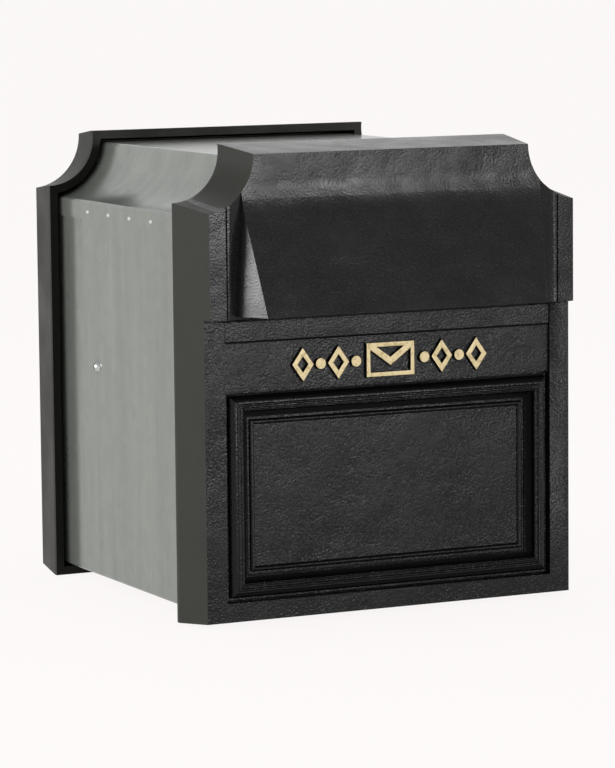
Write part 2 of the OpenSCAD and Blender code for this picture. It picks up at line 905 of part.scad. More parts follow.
module cam_screw() {
    seat = cam_y - lock_y - washer_t;
    color(steel) place() lock_axis() {
        translate([0, 0, seat]) cylinder(h = washer_t + 3.4, r = 1.5);
        translate([0, 0, seat]) mirror([0, 0, 1]) difference() {
            dome(3.2, 1.9);
            translate([-3.2, -0.4, 1]) cube([6.4, 0.8, 2]);
        }
    }
}

front_casting();
outer_tub();
outer_roof();
outer_rivets();
front_sleeve_screws();
slide_lock_screws();
slide_lock_washers();
slide_lock_nuts();
inner_tub();
inner_roof();
inner_rivets();
rear_casting();
rear_sleeve_screws();
rear_door();
hinge_pin_upper();
hinge_pin_lower();
lock_body();
lock_nut();
lock_plug();
lock_cam();
cam_washer();
cam_screw();
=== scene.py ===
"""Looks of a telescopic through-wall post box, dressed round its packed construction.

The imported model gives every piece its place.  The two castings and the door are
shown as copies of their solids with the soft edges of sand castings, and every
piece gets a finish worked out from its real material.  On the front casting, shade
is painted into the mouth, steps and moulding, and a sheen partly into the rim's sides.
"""

import logging
import math
from dataclasses import dataclass, field
from enum import Enum, IntEnum
from typing import Any, Callable, Sequence

import bmesh
import bpy
from mathutils import Matrix, Vector


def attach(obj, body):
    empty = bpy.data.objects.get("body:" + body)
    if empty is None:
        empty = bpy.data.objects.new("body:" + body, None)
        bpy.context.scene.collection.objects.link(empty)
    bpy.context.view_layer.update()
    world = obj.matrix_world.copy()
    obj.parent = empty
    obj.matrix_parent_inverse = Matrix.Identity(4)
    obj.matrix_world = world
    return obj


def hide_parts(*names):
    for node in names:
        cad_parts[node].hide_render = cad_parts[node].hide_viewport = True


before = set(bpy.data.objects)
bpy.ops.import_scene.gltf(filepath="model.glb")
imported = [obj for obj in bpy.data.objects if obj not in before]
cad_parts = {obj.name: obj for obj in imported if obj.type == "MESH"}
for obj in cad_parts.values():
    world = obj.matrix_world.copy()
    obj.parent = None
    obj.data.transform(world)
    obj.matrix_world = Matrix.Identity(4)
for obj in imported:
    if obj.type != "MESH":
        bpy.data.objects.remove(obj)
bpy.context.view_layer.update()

LOG = logging.getLogger("post_box")
MM = 0.001
PHOTO_HEIGHT_PX = 768
PHOTO_WIDTH_PX = 615
# Millimetres from the front casting's wall face, where places are counted from, to the origin
WALL_TO_ORIGIN = 112.4
# Bound of a zone that is open on that side
OPEN = math.inf

Color = tuple[float, float, float, float]


def linear(hex_colour: str) -> Color:
    """Turn an sRGB hex colour into linear RGBA.

    Args:
        hex_colour: Six hex digits after a hash sign.

    Returns:
        Linear red, green, blue and an alpha of 1.
    """
    channels = [int(hex_colour[i : i + 2], 16) / 255 for i in (1, 3, 5)]
    values = [c / 12.92 if c <= 0.04045 else ((c + 0.055) / 1.055) ** 2.4 for c in channels]
    return (values[0], values[1], values[2], 1.0)


def add_node(
    tree: bpy.types.NodeTree,
    kind: str,
    settings: dict[str, Any] | None = None,
    inputs: dict[str | int, Any] | None = None,
    stops: Sequence[tuple[float, Color]] = (),
) -> bpy.types.Node:
    """Add a shader node with its settings, values and links.

    Args:
        tree: Node tree that takes the node.
        kind: Blender's name of the node type.
        settings: Attributes of the node itself.
        inputs: Input values, or output sockets to link from, by input name or number.
        stops: Positions and linear colours of a colour ramp, two or more.

    Returns:
        The new node.
    """
    made = tree.nodes.new(kind)
    for name, value in (settings or {}).items():
        setattr(made, name, value)
    for name, value in (inputs or {}).items():
        socket = made.inputs[name]
        if isinstance(value, bpy.types.NodeSocket):
            tree.links.new(value, socket)
        else:
            socket.default_value = value
    if stops:
        elements = made.color_ramp.elements
        while len(elements) < len(stops):
            elements.new(0.5)
        for element, (position, colour) in zip(elements, stops):
            element.position = position
            element.color = colour
    return made


def new_material(name: str) -> tuple[bpy.types.Material, bpy.types.NodeTree, bpy.types.Node]:
    """Start a material.

    Args:
        name: Name of the material.

    Returns:
        The material, its node tree and its Principled shader.
    """
    material = bpy.data.materials.new(name)
    material.use_nodes = True
    tree = material.node_tree
    return material, tree, tree.nodes["Principled BSDF"]


def object_space(
    tree: bpy.types.NodeTree, stretch: Vector = Vector((1, 1, 1))
) -> bpy.types.NodeSocket:
    """Give the point's place on the object in metres, stretched along each axis.

    Args:
        tree: Node tree that takes the nodes.
        stretch: Scale of the pattern along X, Y and Z.

    Returns:
        The vector socket.
    """
    place = add_node(tree, "ShaderNodeTexCoord")
    mapped = add_node(
        tree, "ShaderNodeMapping", inputs={"Vector": place.outputs["Object"], "Scale": stretch}
    )
    return mapped.outputs["Vector"]


def per_metre(size_mm: float) -> float:
    """Texture scale that gives a pattern of the stated size in millimetres."""
    return 1.0 / (size_mm * MM)


class Gloss(Enum):
    """How much of the coat's gloss is left on painted iron."""

    FRESH = 0.22
    SATIN = 0.42


@dataclass(frozen=True)
class CastIronPaint:
    """Sprayed alkyd enamel on sand-cast iron.

    The sand's grain shows through the enamel as a fine leathery skin, so the gloss
    breaks up into many small soft glints.  The real lumps are about a pixel of the
    photograph wide; they are drawn a little coarser, so that they show.

    Attributes:
        name: Name of the material.
        colour: Colour of the enamel.
        edge_colour: Colour where the grain's high spots are rubbed thin.
        gloss: How glossy the coat still is.
        grain_mm: Size of the sand grain's lumps.
        grain_height_mm: Height of the lumps.
        wave_mm: Size of the slow waves of the moulding sand.
        wave_height_mm: Height of the waves.
        specular: Specular level of the coat.
        ior: Refractive index of dried enamel.
        shinier: How much smoother than the gloss the coat gets.
        duller: How much rougher than the gloss the coat gets.
    """

    name: str
    colour: str = "#0B0B0C"
    edge_colour: str = "#19191A"
    gloss: Gloss = Gloss.FRESH
    grain_mm: float = 1.4
    grain_height_mm: float = 0.34
    wave_mm: float = 48.0
    wave_height_mm: float = 2.6
    specular: float = 0.17
    ior: float = 1.5
    shinier: float = 0.05
    duller: float = 0.07

    def build(self) -> bpy.types.Material:
        """Make the material.

        Returns:
            The material.
        """
        material, tree, shader = new_material(self.name)
        space = object_space(tree)
        grain = add_node(
            tree,
            "ShaderNodeTexNoise",
            inputs={
                "Vector": space,
                "Scale": per_metre(self.grain_mm),
                "Detail": 1.0,
                "Roughness": 0.5,
                "Distortion": 0.3,
            },
        )
        wave = add_node(
            tree,
            "ShaderNodeTexNoise",
            inputs={"Vector": space, "Scale": per_metre(self.wave_mm), "Detail": 2.0},
        )
        slow_bump = add_node(
            tree,
            "ShaderNodeBump",
            inputs={
                "Strength": 0.6,
                "Distance": self.wave_height_mm * MM,
                "Height": wave.outputs["Fac"],
            },
        )
        grain_bump = add_node(
            tree,
            "ShaderNodeBump",
            inputs={
                "Strength": 1.0,
                "Distance": self.grain_height_mm * MM,
                "Height": grain.outputs["Fac"],
                "Normal": slow_bump.outputs["Normal"],
            },
        )
        colour = add_node(
            tree,
            "ShaderNodeValToRGB",
            inputs={0: grain.outputs["Fac"]},
            stops=[(0.35, linear(self.colour)), (0.75, linear(self.edge_colour))],
        )
        rough = add_node(
            tree,
            "ShaderNodeMapRange",
            inputs={
                "Value": wave.outputs["Fac"],
                "From Min": 0.3,
                "From Max": 0.7,
                "To Min": self.gloss.value - self.shinier,
                "To Max": self.gloss.value + self.duller,
            },
        )
        tree.links.new(colour.outputs["Color"], shader.inputs["Base Color"])
        tree.links.new(rough.outputs["Result"], shader.inputs["Roughness"])
        tree.links.new(grain_bump.outputs["Normal"], shader.inputs["Normal"])
        shader.inputs["IOR"].default_value = self.ior
        shader.inputs["Specular IOR Level"].default_value = self.specular
        return material


@dataclass(frozen=True)
class GiltEnamel:
    """Brushed gold enamel on the raised ornament.

    The brush leaves it a little uneven, paler on the flats.  Its bevels stay black
    and its foot is darkened, a painted shade that outlines the ornament.

    Attributes:
        name: Name of the material.
        light: Colour of the flats.
        shade: Colour of the thin patches.
        patch_mm: Size of the patches that the brush leaves.
        brush_height_mm: How far the brush marks stand up.
        metallic: Share of the bronze flakes in the enamel's look.
        roughness: Roughness of the coat.
    """

    name: str
    light: str = "#B3A37C"
    shade: str = "#877447"
    patch_mm: float = 3.5
    brush_height_mm: float = 0.12
    metallic: float = 0.35
    roughness: float = 0.42

    def build(self) -> bpy.types.Material:
        """Make the material.

        Returns:
            The material.
        """
        material, tree, shader = new_material(self.name)
        space = object_space(tree)
        blotch = add_node(
            tree,
            "ShaderNodeTexNoise",
            inputs={
                "Vector": space,
                "Scale": per_metre(self.patch_mm),
                "Detail": 4.0,
                "Roughness": 0.65,
            },
        )
        colour = add_node(
            tree,
            "ShaderNodeValToRGB",
            inputs={0: blotch.outputs["Fac"]},
            stops=[(0.32, linear(self.shade)), (0.5, linear(self.light))],
        )
        bump = add_node(
            tree,
            "ShaderNodeBump",
            inputs={
                "Strength": 0.6,
                "Distance": self.brush_height_mm * MM,
                "Height": blotch.outputs["Fac"],
            },
        )
        tree.links.new(colour.outputs["Color"], shader.inputs["Base Color"])
        tree.links.new(bump.outputs["Normal"], shader.inputs["Normal"])
        shader.inputs["Metallic"].default_value = self.metallic
        shader.inputs["Roughness"].default_value = self.roughness
        return material


@dataclass(frozen=True)
class GalvanisedSheet:
    """Hot-dip galvanised mild steel sheet, as rolled and folded.

    The zinc has crystallised into faint spangles, and thin streaks run down the
    sheet along the rolling direction.

    Attributes:
        name: Name of the material.
        light: Colour of the bright spangles.
        shade: Colour of the dull spangles.
        spangle_mm: Size of one spangle.
        wander_mm: Size of the wander in the spangles' edges.
        streak_mm: Width of a streak.
        streak_draw: Width of a streak as a share of its length.
        streak_share: Share of the streaks in the tone; the spangles have the rest.
        ripple_mm: Height of the streaks' ripple.
        metallic: Share of bare zinc in the look; the rest is its dull bloom.
        roughness: Middle roughness of the zinc.
        scatter: How far the roughness varies each way.
    """

    name: str
    light: str = "#7F837C"
    shade: str = "#717570"
    spangle_mm: float = 11.0
    wander_mm: float = 14.0
    streak_mm: float = 16.0
    streak_draw: float = 0.06
    streak_share: float = 0.86
    ripple_mm: float = 0.25
    metallic: float = 0.55
    roughness: float = 0.2
    scatter: float = 0.03

    def build(self) -> bpy.types.Material:
        """Make the material.

        Returns:
            The material.
        """
        material, tree, shader = new_material(self.name)
        space = object_space(tree)
        warp = add_node(
            tree,
            "ShaderNodeTexNoise",
            inputs={"Vector": space, "Scale": per_metre(self.wander_mm), "Detail": 2.0},
        )
        bent = add_node(
            tree,
            "ShaderNodeMix",
            settings={"data_type": "RGBA", "blend_type": "LINEAR_LIGHT"},
            inputs={"Factor": 0.004, 6: space, 7: warp.outputs["Color"]},
        )
        spangle = add_node(
            tree,
            "ShaderNodeTexVoronoi",
            settings={"feature": "F1"},
            inputs={"Vector": bent.outputs[2], "Scale": per_metre(self.spangle_mm)},
        )
        facet = add_node(tree, "ShaderNodeSeparateColor", inputs={0: spangle.outputs["Color"]})
        streak = add_node(
            tree,
            "ShaderNodeTexNoise",
            inputs={
                "Vector": object_space(tree, Vector((1, 1, self.streak_draw))),
                "Scale": per_metre(self.streak_mm),
                "Detail": 4.0,
                "Roughness": 0.6,
            },
        )
        tone = add_node(
            tree,
            "ShaderNodeMix",
            settings={"data_type": "FLOAT"},
            inputs={
                "Factor": self.streak_share,
                2: facet.outputs[0],
                3: streak.outputs["Fac"],
            },
        )
        colour = add_node(
            tree,
            "ShaderNodeValToRGB",
            inputs={0: tone.outputs["Result"]},
            stops=[(0.3, linear(self.shade)), (0.7, linear(self.light))],
        )
        rough = add_node(
            tree,
            "ShaderNodeMapRange",
            inputs={
                "Value": tone.outputs["Result"],
                "From Min": 0.25,
                "From Max": 0.75,
                "To Min": self.roughness + self.scatter,
                "To Max": self.roughness - self.scatter,
            },
        )
        bump = add_node(
            tree,
            "ShaderNodeBump",
            inputs={
                "Strength": 0.12,
                "Distance": self.ripple_mm * MM,
                "Height": streak.outputs["Fac"],
            },
        )
        tree.links.new(colour.outputs["Color"], shader.inputs["Base Color"])
        tree.links.new(rough.outputs["Result"], shader.inputs["Roughness"])
        tree.links.new(bump.outputs["Normal"], shader.inputs["Normal"])
        shader.inputs["Metallic"].default_value = self.metallic
        return material


@dataclass(frozen=True)
class PlainMetal:
    """Small turned, pressed or plated metal parts.

    Fine turning marks and handling leave the reflection slightly uneven.

    Attributes:
        name: Name of the material.
        colour: Colour of the metal.
        roughness: Middle roughness.
        scatter: How far the roughness varies each way.
        mark_mm: Size of the handling marks.
        tarnish: Share of the colour that is left where the metal is handled least.
    """

    name: str
    colour: str
    roughness: float = 0.28
    scatter: float = 0.08
    mark_mm: float = 1.6
    tarnish: float = 0.78

    def build(self) -> bpy.types.Material:
        """Make the material.

        Returns:
            The material.
        """
        material, tree, shader = new_material(self.name)
        marks = add_node(
            tree,
            "ShaderNodeTexNoise",
            inputs={"Vector": object_space(tree), "Scale": per_metre(self.mark_mm), "Detail": 3.0},
        )
        rough = add_node(
            tree,
            "ShaderNodeMapRange",
            inputs={
                "Value": marks.outputs["Fac"],
                "To Min": self.roughness - self.scatter,
                "To Max": self.roughness + self.scatter,
            },
        )
        dark = tuple(self.tarnish * c for c in linear(self.colour)[:3]) + (1.0,)
        colour = add_node(
            tree,
            "ShaderNodeValToRGB",
            inputs={0: marks.outputs["Fac"]},
            stops=[(0.3, dark), (0.6, linear(self.colour))],
        )
        tree.links.new(colour.outputs["Color"], shader.inputs["Base Color"])
        tree.links.new(rough.outputs["Result"], shader.inputs["Roughness"])
        shader.inputs["Metallic"].default_value = 1.0
        return material


class Coat(IntEnum):
    """Finishes of the front casting, by material slot."""

    ENAMEL = 0
    GILT = 1
    SIDES = 2
    FETTLED = 3
    HOOD = 4
    HOLLOW = 5


@dataclass(frozen=True)
class Zone:
    """A block of space and its mirror image across the middle of the box.

    Places are in millimetres: X from the middle, Y from the front casting's wall face
    towards the rear, Z from the floor.

    Attributes:
        x: Least and greatest distance from the middle.
        y: Least and greatest depth.
        z: Least and greatest height.
    """

    x: tuple[float, float] = (-OPEN, OPEN)
    y: tuple[float, float] = (-OPEN, OPEN)
    z: tuple[float, float] = (-OPEN, OPEN)

    def holds(self, place: Sequence[float]) -> bool:
        """Tell whether a place lies in the zone.

        Args:
            place: X, Y and Z in millimetres.

        Returns:
            True inside the block or its mirror image.
        """
        x, y, z = place
        return (
            self.x[0] < abs(x) < self.x[1]
            and self.y[0] < y < self.y[1]
            and self.z[0] < z < self.z[1]
        )


def within(place: Sequence[float], zones: Sequence[Zone]) -> bool:
    """Whether a place in millimetres lies in any of the zones."""
    return any(zone.holds(place) for zone in zones)


def in_mm(point: Vector) -> tuple[float, float, float]:
    """Place of a point in millimetres, as zones count it."""
    return point.x / MM, point.y / MM + WALL_TO_ORIGIN, point.z / MM


@dataclass(frozen=True)
class EdgeRound:
    """A radius that some edges of a piece are given.

    Attributes:
        radius_mm: Radius of the edge.
        segments: Flat steps across the radius.
        wanted: Says whether an edge takes it, by its middle in millimetres.
    """

    radius_mm: float
    segments: int
    wanted: Callable[[Sequence[float]], bool]


@dataclass
class CastCopy:
    """A casting's solid, merged to whole faces and given soft edges.

    Attributes:
        node: CAD node that it stands for.
        body: Body that it rides on.
        slot: Material slot of the record; not used.
        rounds: Radii, the first that wants an edge wins.
        sharp_deg: Edges that turn less than this stay as they are.
        shortest_mm: Edges shorter than this stay as they are.
        merge_mm: Corners nearer than this are one corner.
        flat_deg: Triangles that turn less than this are one face.
        crease_deg: Shading breaks at edges that turn more than this.
    """

    node: str
    body: str
    slot: str
    rounds: Sequence[EdgeRound]
    sharp_deg: float = 24.0
    shortest_mm: float = 0.02
    merge_mm: float = 0.001
    flat_deg: float = 0.5
    crease_deg: float = 32.0

    def middle(self, edge: bmesh.types.BMEdge) -> Vector:
        """Middle of an edge in millimetres, as zones count it."""
        return Vector(in_mm((edge.verts[0].co + edge.verts[1].co) / 2))

    def corners(
        self, mesh: bmesh.types.BMesh, wanted: Callable[[Sequence[float]], bool]
    ) -> list[bmesh.types.BMEdge]:
        """List the edges that turn a corner and that a radius wants.

        Args:
            mesh: Mesh to look in.
            wanted: Test on the middle of an edge.

        Returns:
            The edges.
        """
        limit = math.radians(self.sharp_deg)
        return [
            edge
            for edge in mesh.edges
            if len(edge.link_faces) == 2
            and edge.calc_face_angle(0.0) > limit
            and edge.calc_length() > self.shortest_mm * MM
            and wanted(self.middle(edge))
        ]

    def build(self, materials: Sequence[bpy.types.Material]) -> bpy.types.Object:
        """Make the piece.

        Args:
            materials: Its finishes, the main one first.

        Returns:
            The finished object.
        """
        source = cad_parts[self.node]
        mesh = bmesh.new()
        mesh.from_mesh(source.data)
        bmesh.ops.remove_doubles(mesh, verts=mesh.verts, dist=self.merge_mm * MM)
        bmesh.ops.dissolve_limit(
            mesh,
            angle_limit=math.radians(self.flat_deg),
            verts=mesh.verts,
            edges=mesh.edges,
            use_dissolve_boundaries=False,
            delimit={"NORMAL"},
        )
        self.reshape(mesh)
        for item in self.rounds:
            edges = self.corners(mesh, item.wanted)
            if not edges:
                continue
            bmesh.ops.bevel(
                mesh,
                geom=edges,
                offset=item.radius_mm * MM,
                offset_type="OFFSET",
                affect="EDGES",
                segments=item.segments,
                profile=0.5,
                material=-1,
                clamp_overlap=True,
                loop_slide=True,
            )
        for face in mesh.faces:
            face.smooth = True
            face.material_index = self.coat_of(face)
        name = f"{self.node}_cast"
        data = bpy.data.meshes.new(name)
        for finish in materials:
            data.materials.append(finish)
        mesh.to_mesh(data)
        mesh.free()
        data.set_sharp_from_angle(angle=math.radians(self.crease_deg))
        piece = bpy.data.objects.new(name, data)
        bpy.context.scene.collection.objects.link(piece)
        weighted = piece.modifiers.new("even_normals", "WEIGHTED_NORMAL")
        weighted.keep_sharp = True
        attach(piece, self.body)
        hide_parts(self.node)
        LOG.info("%s: %d faces", piece.name, len(data.polygons))
        return piece

    def reshape(self, mesh: bmesh.types.BMesh) -> None:
        """Ease the corners that the mould leaves soft; a plain casting has none."""

    def coat_of(self, face: bmesh.types.BMFace) -> Coat:
        """Finish of a face; a plain casting has one finish."""
        return Coat.ENAMEL


@dataclass
class FrontCastCopy(CastCopy):
    """The front casting, with its gilt ornament.

    Attributes:
        flare_mm: How far the foot of each cheek of the hood spreads at the lip.
        cheek_foot: Corners that the flare moves.
        sill_drop_mm: How far the sill stands below the underside of the strips.
        sill: Corners that the drop moves.
        ornament: Length and height of the ornament.
        ornament_foot: Depths of the ornament's sides, darkened as painted shade.
        gilt_front: Depths of the ornament's gilded front.
        gilt_facing: The gilded faces look forwards more than this; the bevels stay black as a
            painted dark outline.
        ground: The rim's ground sides and underside.
        shoulder: The rim's hollow shoulders and top edge.
        top_facing: The top looks upwards more than this, and isn't ground.
        ground_facing: The ground faces look forwards less than this.
        cheek: The hood's filed cheeks.
        cheek_facing: The cheeks look sideways more than this.
        steps: The steps round the sunk band, darkened as painted shade.
        step_facing: The steps look forwards less than this.
        hollows: Depths of the mouldings and the mouth, between the borders, where shade is
            painted.
        mouth_z: Height above which the hollows belong to the mouth.
        ledge_facing: The mouldings' ledges look up or down more than this.
        moulding_half: Half width of the panel moulding's outer edge, in mm.
        moulding_z: Foot and top of the moulding's outer edge, in mm.
        quirks: Distances inwards from that edge where the moulding is cut deep, in mm.
        hood: The hood and the faces beside it.
    """

    flare_mm: float = 5.4
    cheek_foot: Zone = Zone(x=(133.0, 135.0), y=(-56.0, -54.0), z=(-OPEN, 260.0))
    sill_drop_mm: float = 2.9
    sill: Zone = Zone(x=(-OPEN, 150.0), y=(-48.5, -46.5), z=(246.0, 247.0))
    ornament: Zone = Zone(x=(-OPEN, 92.0), z=(192.0, 222.0))
    ornament_foot: Zone = Zone(y=(-48.5, -45.1))
    gilt_front: Zone = Zone(y=(-OPEN, -46.6))
    gilt_facing: float = 0.8
    ground: tuple[Zone, ...] = (Zone(x=(157.0, OPEN)), Zone(z=(-OPEN, 8.0)))
    shoulder: Zone = Zone(x=(115.0, OPEN), z=(331.0, OPEN))
    top_facing: float = 0.9
    ground_facing: float = 0.6
    cheek: Zone = Zone(x=(118.0, 140.0), y=(-OPEN, -55.0), z=(249.0, 345.0))
    cheek_facing: float = 0.7
    steps: tuple[Zone, ...] = (
        Zone(x=(92.0, 147.2), y=(-48.5, -44.0), z=(191.0, OPEN)),
        Zone(x=(-OPEN, 147.2), y=(-48.5, -44.0), z=(223.0, OPEN)),
    )
    step_facing: float = 0.93
    hollows: Zone = Zone(x=(-OPEN, 147.0), y=(-50.5, -40.5))
    mouth_z: float = 243.0
    ledge_facing: float = 0.14
    moulding_half: float = 146.5
    moulding_z: tuple[float, float] = (20.0, 188.5)
    quirks: tuple[tuple[float, float], ...] = ((0.0, 3.6), (15.0, 23.2))
    hood: Zone = Zone(z=(248.0, OPEN))

    def reshape(self, mesh: bmesh.types.BMesh) -> None:
        """Spread the foot of the hood's cheeks, and ease the sill away under the hood.

        Args:
            mesh: Mesh of the casting.
        """
        for vert in mesh.verts:
            place = in_mm(vert.co)
            if self.cheek_foot.holds(place):
                vert.co.x += math.copysign(self.flare_mm * MM, place[0])
            if self.sill.holds(place):
                vert.co.z -= self.sill_drop_mm * MM

    def gets_painted_shade(self, face: bmesh.types.BMFace, place: Sequence[float]) -> bool:
        """Tell whether a face between the borders gets painted shade.

        Args:
            face: Face of the casting.
            place: Its middle in millimetres.

        Returns:
            True in the mouth, on a ledge and in a quirk of the moulding.
        """
        x, _, z = place
        if not self.hollows.holds(place):
            return False
        ledge = abs(face.normal.z) > max(self.ledge_facing, abs(face.normal.x))
        foot, top = self.moulding_z
        inward = min(self.moulding_half - abs(x), top - z, z - foot)
        quirk = any(low < inward < high for low, high in self.quirks)
        return z > self.mouth_z or ledge or quirk

    def coat_of(self, face: bmesh.types.BMFace) -> Coat:
        """Choose the finish of a face by its place and the way it faces.

        Args:
            face: Face of the casting.

        Returns:
            Its finish.
        """
        place = in_mm(face.calc_center_median())
        facing = face.normal
        gilded = self.gilt_front.holds(place) and facing.y < -self.gilt_facing
        rim = within(place, self.ground) or (
            self.shoulder.holds(place) and facing.z < self.top_facing
        )
        # Gilt only on the ornament's front; its bevels stay black and its foot is darkened, a
        # painted shade that outlines it
        if self.ornament.holds(place) and gilded:
            return Coat.GILT
        if self.ornament.holds(place) and self.ornament_foot.holds(place):
            return Coat.HOLLOW
        # Rim sides and shoulders: smooth ground enamel, lighter and greener partly as a painted
        # sheen from the light at the left
        if rim and facing.y > -self.ground_facing:
            return Coat.SIDES
        if self.cheek.holds(place) and abs(facing.x) > self.cheek_facing:
            return Coat.FETTLED
        # Painted shade on the steps, the mouth and the moulding's ledges and quirks
        if within(place, self.steps) and facing.y > -self.step_facing:
            return Coat.HOLLOW
        if self.gets_painted_shade(face, place):
            return Coat.HOLLOW
        return Coat.HOOD if self.hood.holds(place) else Coat.ENAMEL


@dataclass
class Castings:
    """The front and rear castings and the door.

    Attributes:
        edge_mm: Radius of the castings' outer edges.
        hood_mm: Radius of the hood's side edges, worn by hands.
        root_mm: Radius of the hollow where the cheeks rise from the field.
        step_mm: Radius of the steps round the sunk band.
        fine_mm: Radius of the moulding's small edges.
        gilt_mm: Radius of the ornament's edges.
        door_mm: Radius of the door's edges.
        panel: Edges of the sunk field with its moulding, and of the rail above it.
        steps: Edges between the rail or the borders and the sunk band.
        ornament: Edges of the ornament's raised front.
        strips: Edges of the thin fillet and groove beside the hood.
        cheek: Edges between the hood's slope and its cheeks.
        cheek_root: Edges where a cheek rises from the field.
        skin: Outer skin of both castings.
        pads: Depths of the pads that the sleeves are screwed to.
        rims: Depths of the front and the rear casting.
    """

    edge_mm: float = 1.5
    hood_mm: float = 3.0
    root_mm: float = 5.0
    step_mm: float = 0.9
    fine_mm: float = 0.3
    gilt_mm: float = 0.9
    door_mm: float = 0.9
    panel: tuple[Zone, ...] = (
        Zone(x=(-OPEN, 147.5), y=(-50.5, -38.0), z=(19.0, 228.5)),
        Zone(x=(-OPEN, 147.5), y=(-48.5, -46.0), z=(226.0, 247.5)),
    )
    steps: tuple[Zone, ...] = (
        Zone(x=(146.0, 147.0), y=(-48.5, -44.0), z=(192.0, 242.0)),
        Zone(x=(-OPEN, 147.0), y=(-48.5, -44.0), z=(225.0, 230.0)),
    )
    ornament: Zone = Zone(x=(-OPEN, 92.0), y=(-48.5, -46.9), z=(192.0, 222.0))
    strips: Zone = Zone(x=(140.0, 150.5), y=(-OPEN, -52.0), z=(244.0, OPEN))
    cheek: Zone = Zone(x=(120.0, 133.5), y=(-OPEN, -55.5), z=(249.5, 345.0))
    cheek_root: Zone = Zone(x=(133.5, 134.5), y=(-56.0, -54.0), z=(250.0, 345.0))
    skin: tuple[Zone, ...] = (
        Zone(x=(146.0, OPEN)),
        Zone(z=(-OPEN, 12.0)),
        Zone(z=(328.0, OPEN)),
        Zone(y=(-OPEN, -47.0)),
        Zone(y=(290.0, OPEN)),
    )
    pads: tuple[Zone, ...] = (Zone(y=(-18.0, -1.0)), Zone(y=(266.0, 284.0)))
    rims: tuple[Zone, ...] = (Zone(y=(-OPEN, 0.5)), Zone(y=(254.0, OPEN)))

    def at_step(self, place: Sequence[float]) -> bool:
        """Whether an edge is a step between the rail or a border and the sunk band."""
        return within(place, self.steps)

    def is_fine(self, place: Sequence[float]) -> bool:
        """Whether an edge belongs to the small work that keeps a crisp edge."""
        in_panel = within(place, self.panel) and not self.at_step(place)
        return in_panel or self.strips.holds(place)

    def outside(self, place: Sequence[float]) -> bool:
        """Tell whether an edge lies on the outer skin, away from the small work.

        Args:
            place: Middle of the edge in millimetres.

        Returns:
            True for the castings' own outer edges.
        """
        small = within(place, (*self.panel, self.strips, self.cheek, self.cheek_root))
        skin = within(place, self.skin) and within(place, self.rims)
        return skin and not small and not within(place, self.pads)

    def build(
        self,
        coats: dict[Coat, bpy.types.Material],
        rear: bpy.types.Material,
    ) -> None:
        """Make the castings.

        Args:
            coats: Finishes of the front casting.
            rear: Finish of the rear casting and door.
        """
        outer_edges = EdgeRound(self.edge_mm, segments=3, wanted=self.outside)
        front_rounds = [
            EdgeRound(self.hood_mm, segments=4, wanted=self.cheek.holds),
            EdgeRound(self.root_mm, segments=5, wanted=self.cheek_root.holds),
            outer_edges,
            EdgeRound(self.gilt_mm, segments=3, wanted=self.ornament.holds),
            EdgeRound(self.step_mm, segments=2, wanted=self.at_step),
            EdgeRound(self.fine_mm, segments=2, wanted=self.is_fine),
        ]
        door_edges = EdgeRound(self.door_mm, segments=3, wanted=Zone().holds)
        FrontCastCopy("front_casting", "front", "front_paint", front_rounds).build(
            [coats[coat] for coat in Coat]
        )
        CastCopy("rear_casting", "rear_carriage", "rear_paint", [outer_edges]).build([rear])
        CastCopy("rear_door", "door", "door_paint", [door_edges]).build([rear])


@dataclass
class Dressing:
    """Finishes of the pieces whose solids show as they are.

    Attributes:
        finishes: Material of each CAD node.
    """

    finishes: dict[str, bpy.types.Material] = field(default_factory=dict)

    def apply(self) -> None:
        """Put each finish in its piece's material slots."""
        for name, finish in self.finishes.items():
            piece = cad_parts[name]
            piece.data.materials.clear()
            piece.data.materials.append(finish)
            LOG.info("%s: %s", name, finish.name)


@dataclass(frozen=True)
class Softbox:
    """A soft light that faces the middle of the box and isn't seen itself.

    Attributes:
        name: Name of the light.
        place: Its place in metres.
        size: Width and height in metres.
        power: Power in watts.
    """

    name: str
    place: tuple[float, float, float]
    size: tuple[float, float]
    power: float

    def add(self, aim: Vector) -> None:
        """Hang the light.

        Args:
            aim: Place that it faces, in metres.
        """
        data = bpy.data.lights.new(self.name, "AREA")
        data.shape = "RECTANGLE"
        data.size, data.size_y = self.size
        data.energy = self.power
        light = bpy.data.objects.new(self.name, data)
        bpy.context.scene.collection.objects.link(light)
        light.location = self.place
        light.visible_camera = False
        light.rotation_mode = "QUATERNION"
        light.rotation_quaternion = (aim - Vector(self.place)).to_track_quat("-Z", "Y")


